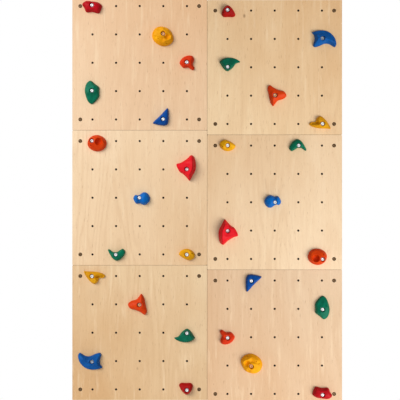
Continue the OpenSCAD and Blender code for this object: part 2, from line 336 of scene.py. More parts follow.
def backdrop():
    """A dark plane of painted shade behind the wall, which only the camera meets, and only from the front."""
    width = cad_high.x - cad_low.x - 2 * BACKDROP_INSET
    height = cad_high.z - cad_low.z - 2 * BACKDROP_INSET
    bpy.ops.mesh.primitive_plane_add(size=1, location=(0, cad_high.y + BACKDROP_GAP, 0),
                                     rotation=(math.radians(90), 0, 0))
    plane = bpy.context.object
    plane.name = "backdrop"
    plane.scale = (width, height, 1)
    material = bpy.data.materials.new("building_shadow")
    material.use_nodes = True
    tree = material.node_tree
    shader = tree.nodes["Principled BSDF"]
    # Painted shade: the dark colour of the shaded gap behind the panels
    shader.inputs["Base Color"].default_value = SHADOW_COLOUR
    shader.inputs["Roughness"].default_value = 1.0
    rays = tree.nodes.new("ShaderNodeLightPath")
    side = tree.nodes.new("ShaderNodeNewGeometry")
    front = maths(tree, "SUBTRACT", 1.0, side.outputs["Backfacing"])
    shown = maths(tree, "MULTIPLY", rays.outputs["Is Camera Ray"], front)
    clear = tree.nodes.new("ShaderNodeBsdfTransparent")
    both = add(tree, "ShaderNodeMixShader", {0: shown, 1: clear.outputs["BSDF"], 2: shader.outputs["BSDF"]})
    tree.links.new(both.outputs["Shader"], tree.nodes["Material Output"].inputs["Surface"])
    plane.data.materials.append(material)
    plane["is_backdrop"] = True
    return plane


print("backdrop", [round(side, 3) for side in backdrop().scale[:2]], "m")

# %% [markdown]
# ## Birch plywood
#
# The veneer is peeled from the log, so it shows long faint streaks, broad pale arches and a few dark pin
# knots. A flat print of wood would repeat and would stop at the edges, so the finish is made of noise: each
# kind of mark is a noise stretched along the grain, and it is mixed over the marks below it. The lacquer is
# a thin coat.

# %% The veneer of a plywood face
PANEL_SIDE = (cad_high.x - cad_low.x) / len(SIDES)
VENEER_ARCHES = srgb(196, 150, 104)
VENEER_STREAKS = srgb(206, 160, 114)
VENEER_FIBRES = srgb(190, 142, 98)
VENEER_FLECKS = srgb(150, 104, 66)
VENEER_PALE = srgb(252, 228, 192)
VENEER_KNOTS = srgb(120, 82, 52)


def across(tree, coords, centre, towards):
    """A value that grows from 0 to 1 across a panel, in a direction."""
    gap = add(tree, "ShaderNodeVectorMath", {0: coords, 1: tuple(centre)}, operation="SUBTRACT")
    slope = tuple(t / PANEL_SIDE / 2 for t in towards)
    along = add(tree, "ShaderNodeVectorMath", {0: gap.outputs["Vector"], 1: slope}, operation="DOT_PRODUCT")
    return maths(tree, "ADD", along.outputs["Value"], 0.5)


def veneer(tree, coords, place, light, dark, centre, towards):
    """The face's colour, and the streaks and fibres that also make its gloss and its bump."""
    drift = noise(tree, stretched(tree, place, (6, 6, 2.2)), detail=3, distortion=0.5)
    tone = maths(tree, "ADD", across(tree, coords, centre, towards), maths(tree, "SUBTRACT", drift, 0.5))
    face = mix(tree, ramp(tree, tone, 0.0, 1.0), light, dark)

    field = noise(tree, stretched(tree, place, (5.5, 5.5, 0.9)), detail=2, roughness=0.4, distortion=0.3)
    rings = maths(tree, "SINE", maths(tree, "MULTIPLY", field, 95.0))
    presence = ramp(tree, noise(tree, stretched(tree, place, (3, 3, 1.6), (5, 0, 9))), 0.42, 0.62)
    figure = maths(tree, "MULTIPLY", ramp(tree, rings, -0.2, 1.0, 0.0, 0.16), presence)
    face = mix(tree, figure, face, VENEER_ARCHES)

    streaks = noise(tree, stretched(tree, place, (120, 120, 3)), detail=4, roughness=0.6)
    face = mix(tree, ramp(tree, streaks, 0.5, 0.8, 0.0, 0.18), face, VENEER_STREAKS)
    fibres = noise(tree, stretched(tree, place, (1100, 1100, 26)), detail=3, roughness=0.7)
    face = mix(tree, ramp(tree, fibres, 0.4, 0.75, 0.0, 0.22), face, VENEER_FIBRES)
    flecks = noise(tree, stretched(tree, place, (420, 420, 34), (1, 0, 4)), detail=2)
    face = mix(tree, ramp(tree, flecks, 0.66, 0.74, 0.0, 0.4), face, VENEER_FLECKS)
    pale = noise(tree, stretched(tree, place, (60, 60, 6), (7, 0, 2)), detail=3, roughness=0.6)
    face = mix(tree, ramp(tree, pale, 0.56, 0.7, 0.0, 0.3), face, VENEER_PALE)

    cells = add(tree, "ShaderNodeTexVoronoi", {"Vector": stretched(tree, place, (4, 4, 2.6)), "Scale": 1.0})
    knots = ramp(tree, cells.outputs["Distance"], 0.01, 0.03, 0.6, 0.0)
    face = mix(tree, knots, face, VENEER_KNOTS)
    return face, streaks, fibres


print("a sheet is", round(PANEL_SIDE, 3), "m wide")

# %% [markdown]
# Where a surface faces sideways, the veneer gives way to the plies, pale and dark in turn, each as thick as
# one peeled sheet. The walls of the drilled holes get painted shade, which makes them darker still.

# %% The plies and the whole finish
PLY_T = 1.38 * MM
DRILLED = "drilled"
PLY_PALE = srgb(222, 188, 142)
PLY_DARK = srgb(168, 122, 78)
PLY_FIBRES = srgb(140, 98, 60)
DRILLED_WALL_SHADE = srgb(70, 46, 28)


def ply_edge(tree, coords, fibres):
    """The colour of a sawn edge, with painted shade where it is a drilled wall."""
    plies = add(tree, "ShaderNodeSeparateXYZ", {"Vector": coords}).outputs["Y"]
    plies = maths(tree, "FRACT", maths(tree, "DIVIDE", plies, 2 * PLY_T))
    plies = ramp(tree, maths(tree, "ABSOLUTE", maths(tree, "SUBTRACT", plies, 0.5)), 0.22, 0.28)
    edge = mix(tree, plies, PLY_PALE, PLY_DARK)
    edge = mix(tree, ramp(tree, fibres, 0.3, 0.7, 0.0, 0.35), edge, PLY_FIBRES)
    # Painted shade on the drilled walls, which lie deep in the holes
    drilled = add(tree, "ShaderNodeAttribute", attribute_name=DRILLED).outputs["Fac"]
    return mix(tree, maths(tree, "MULTIPLY", drilled, 0.85), edge, DRILLED_WALL_SHADE)


def birch_plywood(name, light, dark, centre, towards, offset):
    """Lacquered birch veneer with upright grain, and plies where a surface faces sideways."""
    material, tree, shader, coords = new_material(name, 0.46)
    place = stretched(tree, coords, (1, 1, 1), offset)
    face, streaks, fibres = veneer(tree, coords, place, light, dark, centre, towards)
    edge = ply_edge(tree, coords, fibres)
    on_face = ramp(tree, facing(tree, "Y"), 0.55, 0.85)
    tree.links.new(mix(tree, on_face, edge, face), shader.inputs["Base Color"])
    tree.links.new(ramp(tree, streaks, 0.2, 0.8, 0.40, 0.54), shader.inputs["Roughness"])
    shader.inputs["Specular IOR Level"].default_value = 0.35
    shader.inputs["Coat Weight"].default_value = 0.08
    shader.inputs["Coat Roughness"].default_value = 0.3
    bump(tree, shader, fibres, 0.25, 0.0002)
    return material


print("plies of", round(PLY_T / MM, 2), "mm, thirteen in a sheet of", round((BACK - FRONT) / MM, 1), "mm")

# %% [markdown]
# No two sheets of birch have the same tone, and a sheet is often darker towards one corner. So each panel
# gets its own pale tone, its own tan tone and the direction in which it darkens, and its own part of the
# log: the noise is moved along by an offset, so that no mark comes twice.

# %% The six sheets: pale tone, tan tone, and the direction in which the sheet darkens
LOG_STEP_X = 3.7
LOG_STEP_Z = 1.9
SHEETS = {
    "left_top": ((242, 210, 174), (228, 186, 144), (1, 0, 1)),
    "left_middle": ((247, 220, 184), (231, 196, 154), (1, 0, -1)),
    "left_bottom": ((238, 210, 170), (215, 174, 126), (-1, 0, -1)),
    "right_top": ((249, 220, 178), (225, 182, 132), (1, 0, 1)),
    "right_middle": ((247, 220, 184), (231, 196, 154), (-1, 0, 1)),
    "right_bottom": ((231, 201, 167), (218, 178, 138), (-1, 0, -1)),
}
plywood = {}
for number, (panel, (light, dark, towards)) in enumerate(SHEETS.items()):
    low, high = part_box(f"{panel}_panel")
    plywood[panel] = birch_plywood(f"birch_{panel}", srgb(*light), srgb(*dark), (low + high) / 2, towards,
                                   (LOG_STEP_X * number, 0, LOG_STEP_Z * number))
print(len(plywood), "plywood finishes")

# %% [markdown]
# ## Panels and battens
#
# Both are sawn and drilled boards, so their CAD shape is right. A copy of the CAD mesh has its loose
# triangles joined, and a narrow bevel takes the sharpness off every edge and every hole's rim, as
# sandpaper does. The copy then stands for the CAD node.

# %% Copy a board and soften its edges
LONG = 0.1


def merged_copy(node, name):
    """A plain mesh object with the CAD node's shape, its triangles joined into clean faces."""
    mesh = bpy.data.meshes.new(name)
    bm = bmesh.new()
    bm.from_mesh(frame["nodes"][node].data)
    bmesh.ops.remove_doubles(bm, verts=bm.verts, dist=1e-6)
    bmesh.ops.dissolve_limit(bm, angle_limit=math.radians(1), verts=bm.verts, edges=bm.edges)
    bmesh.ops.recalc_face_normals(bm, faces=bm.faces)
    bm.to_mesh(mesh)
    bm.free()
    piece = bpy.data.objects.new(name, mesh)
    bpy.context.scene.collection.objects.link(piece)
    return piece


def bevelled(piece, width, segments=2, angle=35, upright=1.0):
    """Bevels the sharp edges, the long upright ones by their own share, and keeps the flat faces flat."""
    bm = bmesh.new()
    bm.from_mesh(piece.data)
    share = bm.edges.layers.float.new("bevel_weight_edge")
    for edge in bm.edges:
        if edge.calc_face_angle(0) > math.radians(angle):
            way = edge.verts[1].co - edge.verts[0].co
            edge[share] = upright if abs(way.z) > LONG and abs(way.z) > 0.99 * way.length else 1.0
    bm.to_mesh(piece.data)
    bm.free()
    modifier = piece.modifiers.new("bevel", "BEVEL")
    modifier.width = width
    modifier.segments = segments
    modifier.limit_method = "WEIGHT"
    normals = piece.modifiers.new("normals", "WEIGHTED_NORMAL")
    normals.weight = 100
    for polygon in piece.data.polygons:
        polygon.use_smooth = True
    return piece


boards = [node for node in frame["nodes"] if node.endswith(("_panel", "_batten"))]
print(len(boards), "boards to copy")

# %% [markdown]
# A drilled hole's wall is rough end grain, and its deep shade is painted into its colour, while the board's
# outer edge shows clean plies.
# Both face sideways, so an attribute on the faces tells the finish which is which. A second helper sets
# each piece on its body, hides the CAD nodes that it stands for, and puts the piece in the light of its own
# column.

# %% Mark the drilled walls and fit a piece
def mark_drilled(piece, margin=4 * MM):
    """Marks the walls of the holes, which are the side faces away from the outer edges, for painted shade."""
    mesh = piece.data
    low = [min(v.co[k] for v in mesh.vertices) for k in range(3)]
    high = [max(v.co[k] for v in mesh.vertices) for k in range(3)]
    mark = mesh.attributes.new(DRILLED, "FLOAT", "FACE")
    for polygon in mesh.polygons:
        inside = all(low[k] + margin < polygon.center[k] < high[k] - margin for k in (0, 2))
        mark.data[polygon.index].value = float(inside and abs(polygon.normal.y) < 0.5)
    return piece


def fit(piece, body, slot, *nodes):
    """Puts the piece in its column's light, sets it on its body and hides the CAD nodes that it stands for.
    The slot is not used.
    """
    for side in SIDES:
        if piece.name.split("_")[0] in (side, "middle", "washer"):
            lit_by[side].objects.link(piece)
    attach(piece, body)
    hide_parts(*nodes)
    return piece


ROOT = "wall"
print(len(BOLT_AT) + 1, "bodies: the", ROOT, "and its holds")

# %% [markdown]
# The panels butt tightly against each other. Their long upright edges get only a third of the bevel, so
# the seam between the columns stays a fine line.

# %% Make the six panels
PANEL_BEVEL = 0.35 * MM
TIGHT_SEAM = 0.35
for panel in PANELS:
    board = bevelled(mark_drilled(merged_copy(f"{panel}_panel", f"{panel}_board")), PANEL_BEVEL,
                     upright=TIGHT_SEAM)
    board.data.materials.clear()
    board.data.materials.append(plywood[panel])
    fit(board, ROOT, "plywood", f"{panel}_panel")
    print(board.name, len(board.data.polygons), "faces")

# %% [markdown]
# ## Battens
#
# Battens are planed softwood. Their rings are a wave pattern drawn out along the grain, which shows as
# long lines on the faces and as arcs on the sawn ends.

# %% The softwood finish and the battens
BATTEN_BEVEL = 1.5 * MM
PINE_EARLY = srgb(226, 192, 142)
PINE_LATE = srgb(190, 142, 88)
PINE_FIBRES = srgb(172, 126, 78)
PINE_ENDS = srgb(150, 108, 66)


def softwood(name):
    """Planed pine or spruce: upright grain, darker late wood, and rings on the sawn ends."""
    material, tree, shader, coords = new_material(name, 0.6)
    rings = add(tree, "ShaderNodeTexWave", {
        "Vector": stretched(tree, coords, (1, 1, 0.05)), "Scale": 38.0, "Distortion": 5.0,
        "Detail": 2.0, "Detail Scale": 1.2}, wave_type="RINGS", rings_direction="Z").outputs["Fac"]
    fibres = noise(tree, stretched(tree, coords, (700, 700, 18)), detail=3, roughness=0.7)
    base = mix(tree, ramp(tree, rings, 0.45, 0.95), PINE_EARLY, PINE_LATE)
    base = mix(tree, ramp(tree, fibres, 0.3, 0.75, 0.0, 0.3), base, PINE_FIBRES)
    ends = ramp(tree, facing(tree, "Z"), 0.6, 0.9, 0.0, 0.35)
    base = mix(tree, ends, base, PINE_ENDS)
    tree.links.new(base, shader.inputs["Base Color"])
    bump(tree, shader, fibres, 0.4, 0.0003)
    return material


pine = softwood("pine")
for node in ("left_batten", "middle_batten", "right_batten"):
    batten = bevelled(merged_copy(node, f"{node}_board"), BATTEN_BEVEL)
    batten.data.materials.clear()
    batten.data.materials.append(pine)
    fit(batten, ROOT, "batten_wood", node)
    print(batten.name, len(batten.data.polygons), "faces")

# %% [markdown]
# ## Steel finishes
#
# Fresh zinc plating is bright, fine grained and a little milky, so its metallic share is under one. The
# T-nuts get steel darkened by painted shade, as they sit deep in their sockets, and the panel screws are
# bronzed. The washers and a few of the hold bolts get zinc with painted shade: grey, and for the yellow disc
# and the orange spur warm, with a painted reflection of the hold's colour. Steel has little colour of its
# own, so roughness that changes a little over the surface does most of the work.

# %% The steel finishes
def plated_steel(name, colour, tint, roughness, metallic=1.0, cloud=350):
    """Plated or bronzed steel with faint clouds and fine scratches."""
    material, tree, shader, coords = new_material(name, roughness, metallic)
    clouds = noise(tree, coords, cloud, 4, 0.6)
    scratches = noise(tree, stretched(tree, coords, (4000, 900, 400)), detail=2)
    tree.links.new(mix(tree, ramp(tree, clouds, 0.35, 0.7), colour, tint), shader.inputs["Base Color"])
    rough = ramp(tree, clouds, 0.2, 0.8, roughness - 0.07, roughness + 0.1)
    tree.links.new(rough, shader.inputs["Roughness"])
    bump(tree, shader, scratches, 0.12, 0.00005)
    return material


zinc = plated_steel("zinc_plate", srgb(250, 250, 250), srgb(236, 238, 240), 0.32, 0.35)
# Painted shade: zinc darkened and tinted warm, with a painted reflection of a yellow or orange hold
gold_zinc = plated_steel("gold_zinc", srgb(244, 190, 134), srgb(212, 156, 98), 0.4, 0.3)
# Painted shade: zinc darkened, as in a deep recess
dull_zinc = plated_steel("dull_zinc", srgb(184, 190, 200), srgb(146, 152, 162), 0.45, 0.6)
# Painted shade: steel darkened, as deep in a socket
dark_steel = plated_steel("dark_steel", srgb(78, 74, 70), srgb(54, 51, 48), 0.5, 0.8)
bronzed = plated_steel("bronzed_steel", srgb(126, 98, 66), srgb(94, 70, 46), 0.46, 0.6)
print("steel finishes:", [finish.name for finish in (zinc, gold_zinc, dull_zinc, dark_steel, bronzed)])

# %% [markdown]
# ## Fasteners
#
# Every fastener is drawn once, about its own axis with its height pointing out of the wall, and then
# repeated. A turned part is a profile swept round; the hexagon socket is a loop of points that follows a
# hexagon in place of a circle, so the rings can be bridged with plain quads.

# %% Draw turned parts as stacks of rings
TURN = 36


def circle_ring(r, h):
    """A ring of points at a radius and a height, in millimetres."""
    angles = [2 * math.pi * i / TURN for i in range(TURN)]
    return [(r * math.cos(a), r * math.sin(a), h) for a in angles]


def hexagon_ring(flats, h):
    """A ring of points on a hexagon, given its width across the flats."""
    points = []
    for i in range(TURN):
        a = 2 * math.pi * i / TURN
        off = (a % (math.pi / 3)) - math.pi / 6
        r = flats / 2 / math.cos(off)
        points.append((r * math.cos(a), r * math.sin(a), h))
    return points


def stack(name, rings, closed=False, sharp=30):
    """A mesh through a stack of rings. An open stack is capped at both ends; a closed one joins up."""
    bm = bmesh.new()
    loops = [[bm.verts.new(Vector(p) * MM) for p in ring] for ring in rings]
    pairs = list(zip(loops, loops[1:])) + ([(loops[-1], loops[0])] if closed else [])
    for a, b in pairs:
        for i in range(TURN):
            j = (i + 1) % TURN
            bm.faces.new((a[i], a[j], b[j], b[i]))
    if not closed:
        for loop in (loops[0], loops[-1]):
            bm.faces.new(loop)
    bmesh.ops.recalc_face_normals(bm, faces=bm.faces)
    mesh = bpy.data.meshes.new(name)
    bm.to_mesh(mesh)
    bm.free()
    for polygon in mesh.polygons:
        polygon.use_smooth = True
    mesh.set_sharp_from_angle(angle=math.radians(sharp))
    return mesh


def thread(major, minor, pitch, top, bottom):
    """Rings that rise and fall like a thread's crests, from top to bottom."""
    turns = int((top - bottom) / pitch)
    rings = []
    for k in range(turns):
        rings.append(circle_ring(minor / 2, top - (k + 0.25) * pitch))
        rings.append(circle_ring(major / 2, top - (k + 0.75) * pitch))
    return rings


print("a turned part has", TURN, "points round each ring")

# %% [markdown]
# The hold bolt is an M8 socket head bolt. Its head sits on a washer, on the floor of the hold's recess, and
# its threaded end runs through the T-nut. All its heights count from the panel's front, in millimetres.

# %% The hold bolt and its washer
HOLD_FLOOR = 12.0
WASHER_T = 1.6
WASHER_D = 16.0
WASHER_BORE_D = 9.0
HEAD_D = 13.0
HEAD_H = 8.0
KEY = 6.0
KEY_DEPTH = 4.0
BOLT_D = 8.0
BOLT_L = 35.0
THREADED = 16.0
M8_PITCH = 1.25
M8_CUT = 1.3


def hold_bolt():
    """A socket head bolt: chamfered head, hexagon socket, plain shank and a threaded end."""
    seat = HOLD_FLOOR + WASHER_T
    top = seat + HEAD_H
    rings = [
        circle_ring(0.4, top - KEY_DEPTH - 0.9),
        hexagon_ring(KEY * 0.98, top - KEY_DEPTH),
        hexagon_ring(KEY, top - 0.5),
        circle_ring(KEY / 2 + 0.75, top - 0.05),
        circle_ring(HEAD_D / 2 - 1.1, top),
        circle_ring(HEAD_D / 2 - 0.45, top - 0.2),
        circle_ring(HEAD_D / 2 - 0.1, top - 0.7),
        circle_ring(HEAD_D / 2, top - 1.3),
        circle_ring(HEAD_D / 2, seat + 0.4),
        circle_ring(HEAD_D / 2 - 0.35, seat),
        circle_ring(BOLT_D / 2, seat),
    ]
    end = seat - BOLT_L
    rings += thread(BOLT_D, BOLT_D - M8_CUT, M8_PITCH, end + THREADED, end + 1)
    rings += [circle_ring(BOLT_D / 2 - 0.9, end)]
    return stack("hold_bolt", rings)


def washer():
    """A flat washer with rounded rims."""
    inner = WASHER_BORE_D / 2
    outer = WASHER_D / 2
    low = HOLD_FLOOR
    high = HOLD_FLOOR + WASHER_T
    rings = [
        circle_ring(inner, high - 0.15),
        circle_ring(inner + 0.15, high),
        circle_ring(outer - 0.35, high),
        circle_ring(outer, high - 0.4),
        circle_ring(outer, low),
        circle_ring(inner, low),
    ]
    return stack("hold_washer", rings, closed=True)


bolt_mesh = hold_bolt()
washer_mesh = washer()
print("bolt", len(bolt_mesh.polygons), "faces, washer", len(washer_mesh.polygons), "faces")

# %% [markdown]
# A T-nut is a short threaded barrel with a wide flange. Its prongs are bent out of the flange's rim and
# driven into the plywood, which leaves four notches in the rim. So its rings are circles, except for the
# flange's, which step inwards at the notches.

# %% The T-nut
TNUT_BARREL_D = 9.9
TNUT_BARREL_L = 11.0
TNUT_FLANGE_T = 1.5
TNUT_BORE_D = 8.1
TNUT_CUT = 0.7
NOTCH_DEPTH = 3.0
NOTCH_HALF = 0.14


def notched_ring(r, h):
    """A flange's rim, cut back at the four places where its prongs were bent out."""
    points = []
    for x, y, z in circle_ring(r, h):
        off = abs((math.atan2(y, x) / (math.pi / 2)) % 1 - 0.5)
        cut = NOTCH_DEPTH if off < NOTCH_HALF else 0.0
        points.append((x * (r - cut) / r, y * (r - cut) / r, z))
    return points


def tnut():
    """A flange on the panel's back, a barrel in the plywood and a threaded bore through both."""
    back = -(BACK - FRONT) / MM
    flange_r = FLANGE_D / MM / 2
    barrel_r = TNUT_BARREL_D / 2
    low = back - TNUT_FLANGE_T
    tip = back + TNUT_BARREL_L
    rings = [
        circle_ring(TNUT_BORE_D / 2 + 0.8, low),
        notched_ring(flange_r - 0.4, low),
        notched_ring(flange_r, low + 0.4),
        notched_ring(flange_r, back),
        circle_ring(barrel_r, back),
        circle_ring(barrel_r, tip - 0.3),
        circle_ring(barrel_r - 0.3, tip),
        circle_ring(TNUT_BORE_D / 2 + 0.3, tip),
    ]
    rings += thread(TNUT_BORE_D, TNUT_BORE_D + TNUT_CUT, M8_PITCH, tip - 0.2, low + 0.9)
    return stack("tnut", rings, closed=True)


tnut_mesh = tnut()
print("T-nut", len(tnut_mesh.polygons), "faces")

# %% [markdown]
# The panel screws hold a panel to its battens. Each has a low domed head in a recess of the panel, a
# hexagon socket, and a coarse wood thread that ends in a point.

# %% The panel screw
SCREW_RECESS = 5.0
SCREW_HEAD_H = 3.0
SCREW_KEY = 5.0
SCREW_D = 6.0
SCREW_L = 35.0
SCREW_PLAIN = 10.0
SCREW_POINT = 4.0
WOOD_PITCH = 2.6
WOOD_CUT = 1.8


def panel_screw():
    """A flanged screw: low domed head, hexagon socket, and a threaded shank with a point."""
    seat = -SCREW_RECESS
    head_r = SCREW_HEAD_D / MM / 2
    top = seat + SCREW_HEAD_H
    rings = [
        circle_ring(0.3, top - 2.0),
        hexagon_ring(SCREW_KEY * 0.97, top - 1.8),
        hexagon_ring(SCREW_KEY, top - 0.35),
        circle_ring(SCREW_KEY / 2 + 0.7, top - 0.02),
        circle_ring(head_r * 0.62, top),
        circle_ring(head_r * 0.8, top - 0.5),
        circle_ring(head_r * 0.93, top - 1.2),
        circle_ring(head_r, top - 2.1),
        circle_ring(head_r, seat + 0.3),
        circle_ring(head_r - 0.3, seat),
        circle_ring(SCREW_D / 2, seat),
    ]
    end = seat - SCREW_L
    rings += thread(SCREW_D, SCREW_D - WOOD_CUT, WOOD_PITCH, seat - SCREW_PLAIN, end + SCREW_POINT)
    rings += [circle_ring(SCREW_D / 2 - 1.2, end + SCREW_POINT - 1), circle_ring(0.3, end)]
    return stack("panel_screw", rings)


screw_mesh = panel_screw()
print("panel screw", len(screw_mesh.polygons), "faces")

# %% [markdown]
# ## Repeat the fasteners with Geometry Nodes
#
# One small node tree sets copies of a part on points: the points are the vertices of a carrier mesh, each
# copy gets a turn about its own axis from a seeded random value, and the tree ends by making the copies
# real and giving them their finish. A second tree makes its own grid of points first. The result is
# turned into a plain mesh, because the frame takes plain meshes.

# %% Build the two trees
def node_in(tree, kind, **inputs):
    """Adds a geometry node and fills or links its inputs."""
    node = tree.nodes.new(kind)
    for key, value in inputs.items():
        socket = node.inputs[key.replace("_", " ")]
        if isinstance(value, bpy.types.NodeSocket):
            tree.links.new(value, socket)
        else:
            socket.default_value = value
    return node


def setting_tree(name, on_grid):
    """A tree that sets a part on points, upright on the front of the wall."""
    tree = bpy.data.node_groups.new(name, "GeometryNodeTree")
    sockets = [("Geometry", "NodeSocketGeometry"), ("Part", "NodeSocketObject"),
               ("Finish", "NodeSocketMaterial"), ("Turn", "NodeSocketFloat"), ("Seed", "NodeSocketInt")]
    if on_grid:
        sockets += [("Width", "NodeSocketFloat"), ("Height", "NodeSocketFloat"), ("Columns", "NodeSocketInt"),
                    ("Rows", "NodeSocketInt"), ("Centre", "NodeSocketVector")]
    for label, kind in sockets:
        tree.interface.new_socket(label, in_out="INPUT", socket_type=kind)
    tree.interface.new_socket("Geometry", in_out="OUTPUT", socket_type="NodeSocketGeometry")
    given = tree.nodes.new("NodeGroupInput").outputs
    points = given["Geometry"]
    if on_grid:
        grid = node_in(tree, "GeometryNodeMeshGrid", Size_X=given["Width"], Size_Y=given["Height"],
                       Vertices_X=given["Columns"], Vertices_Y=given["Rows"])
        stand = node_in(tree, "GeometryNodeTransform", Geometry=grid.outputs["Mesh"],
                        Translation=given["Centre"], Rotation=(math.radians(90), 0, 0))
        points = stand.outputs["Geometry"]
    part = node_in(tree, "GeometryNodeObjectInfo", Object=given["Part"]).outputs["Geometry"]
    spin = tree.nodes.new("FunctionNodeRandomValue")
    spin.data_type = "FLOAT"
    tree.links.new(given["Turn"], spin.inputs[3])
    tree.links.new(given["Seed"], spin.inputs["Seed"])
    turned = node_in(tree, "ShaderNodeCombineXYZ", X=math.radians(90))
    upright = node_in(tree, "FunctionNodeEulerToRotation", Euler=turned.outputs["Vector"])
    about = node_in(tree, "ShaderNodeCombineXYZ", Z=spin.outputs[1])
    own = node_in(tree, "FunctionNodeEulerToRotation", Euler=about.outputs["Vector"])
    both = tree.nodes.new("FunctionNodeRotateRotation")
    both.rotation_space = "LOCAL"
    tree.links.new(upright.outputs[0], both.inputs[0])
    tree.links.new(own.outputs[0], both.inputs[1])
    copies = node_in(tree, "GeometryNodeInstanceOnPoints", Points=points, Instance=part,
                     Rotation=both.outputs[0])
    real = node_in(tree, "GeometryNodeRealizeInstances", Geometry=copies.outputs["Instances"])
    finish = node_in(tree, "GeometryNodeSetMaterial", Geometry=real.outputs["Geometry"],
                     Material=given["Finish"])
    result = tree.nodes.new("NodeGroupOutput")
    tree.links.new(finish.outputs["Geometry"], result.inputs["Geometry"])
    return tree


on_points = setting_tree("set_on_points", on_grid=False)
on_grid = setting_tree("set_on_grid", on_grid=True)
print([(tree.name, len(tree.nodes)) for tree in (on_points, on_grid)], "nodes")

# %% [markdown]
# A tree's inputs are set on the modifier by their identifiers, before the carrier is first evaluated. The
# evaluated result is then kept as a plain mesh, and the modifier, the carrier's own mesh and the pattern
# part are thrown away.

# %% Turn a tree's result into a plain piece
def set_parts(name, tree, part_mesh, points=(), **values):
    """Runs a tree on a carrier of points and returns its result as a plain mesh object."""
    part = bpy.data.objects.new(f"{name}_pattern", part_mesh)
    carrier_mesh = bpy.data.meshes.new(name)
    carrier_mesh.from_pydata([tuple(p) for p in points], [], [])
    carrier = bpy.data.objects.new(name, carrier_mesh)
    bpy.context.scene.collection.objects.link(carrier)
    modifier = carrier.modifiers.new("set", "NODES")
    modifier.node_group = tree
    identifiers = {item.name: item.identifier for item in tree.interface.items_tree
                   if item.in_out == "INPUT"}
    for label, value in {"Part": part, **values}.items():
        modifier[identifiers[label]] = value
    bpy.context.view_layer.update()
    evaluated = carrier.evaluated_get(bpy.context.evaluated_depsgraph_get())
    mesh = bpy.data.meshes.new_from_object(evaluated)
    while mesh.materials[0] is None:
        mesh.materials.pop(index=0)
    carrier.modifiers.remove(modifier)
    carrier.data = mesh
    mesh.name = name
    bpy.data.objects.remove(part)
    bpy.data.meshes.remove(carrier_mesh)
    print(name, len(mesh.polygons), "faces,", [m.name for m in mesh.materials])
    return carrier


FULL_TURN = 2 * math.pi
print("a fastener may be turned by up to", round(math.degrees(FULL_TURN)), "degrees")

# %% [markdown]
# Behind each panel there is a T-nut at every point of a five by five grid, whether or not a hold uses it,
# and a screw near each corner. Both grids come from the boxes of the CAD nodes. Every panel has its own
# seed, because nobody lines up hexagons or notches by hand.

# %% Set the T-nuts and the panel screws
SCREWS_ACROSS = 2
SCREW_SEED = 10
for number, panel in enumerate(PANELS):
    centre, size = grid_of(f"{panel}_tnuts", FLANGE_D)
    # The T-nuts' steel carries painted shade
    piece = set_parts(f"{panel}_tnut_set", on_grid, tnut_mesh, Finish=dark_steel, Turn=FULL_TURN,
                      Seed=number, Width=size.x, Height=size.z, Columns=SOCKETS_ACROSS,
                      Rows=SOCKETS_ACROSS, Centre=(centre.x, FRONT, centre.z))
    fit(piece, ROOT, "tnut_steel", f"{panel}_tnuts")

for number, panel in enumerate(PANELS):
    centre, size = grid_of(f"{panel}_panel_screws", SCREW_HEAD_D)
    piece = set_parts(f"{panel}_screw_set", on_grid, screw_mesh, Finish=bronzed, Turn=FULL_TURN,
                      Seed=SCREW_SEED + number, Width=size.x, Height=size.z, Columns=SCREWS_ACROSS,
                      Rows=SCREWS_ACROSS, Centre=(centre.x, FRONT, centre.z))
    fit(piece, ROOT, "screw_steel", f"{panel}_panel_screws")

# %% [markdown]
# The hold bolts aren't on a whole grid, so their points come from the joints. A panel's bolts are sorted by
# their finish, bright or with painted shade, and each finish makes one piece.

# %% Set the hold bolts and their washers
BOLT_SEED = 20
BOLT_FINISHES = {"bright": zinc, "gold": gold_zinc, "dull": dull_zinc}
# The bolts of these holds get painted shade
BOLTS_WITH_PAINTED_SHADE = {"yellow_disc": "gold", "orange_spur": "gold", "blue_flag": "dull"}


def inside(place, node):
    """True if a bolt's place lies within a CAD node's box, seen from the front."""
    low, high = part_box(node)
    return low.x < place.x < high.x and low.z < place.z < high.z


for number, panel in enumerate(PANELS):
    for look, finish in BOLT_FINISHES.items():
        places = [place for node, place in BOLT_AT.items() if inside(place, f"{panel}_panel")
                  and BOLTS_WITH_PAINTED_SHADE.get(node.split("_", 1)[1], "bright") == look]
        if places:
            piece = set_parts(f"{panel}_{look}_bolts", on_points, bolt_mesh, places, Finish=finish,
                              Turn=FULL_TURN, Seed=BOLT_SEED + number)
            fit(piece, ROOT, "bolt_steel", f"{panel}_hold_bolts")

# The washers get zinc with painted shade, as they sit down in the recess
washers = set_parts("washer_set", on_points, washer_mesh, BOLT_AT.values(), Finish=dull_zinc, Turn=0.0,
                    Seed=1)
fit(washers, ROOT, "bolt_steel", "hold_washers")

# %% [markdown]
# ## Resin holds
#
# A hold is cast in a soft mould, so its faces are flat or hollow slabs that melt into each other at
# rounded ridges. That is how it is made here too. The outline on the panel comes from the CAD node. Over
# it, the height at a point is the lowest of a few tilted planes and of a steep side that rises from the
# outline, blended so that their ridges are round, less a few round hollows.

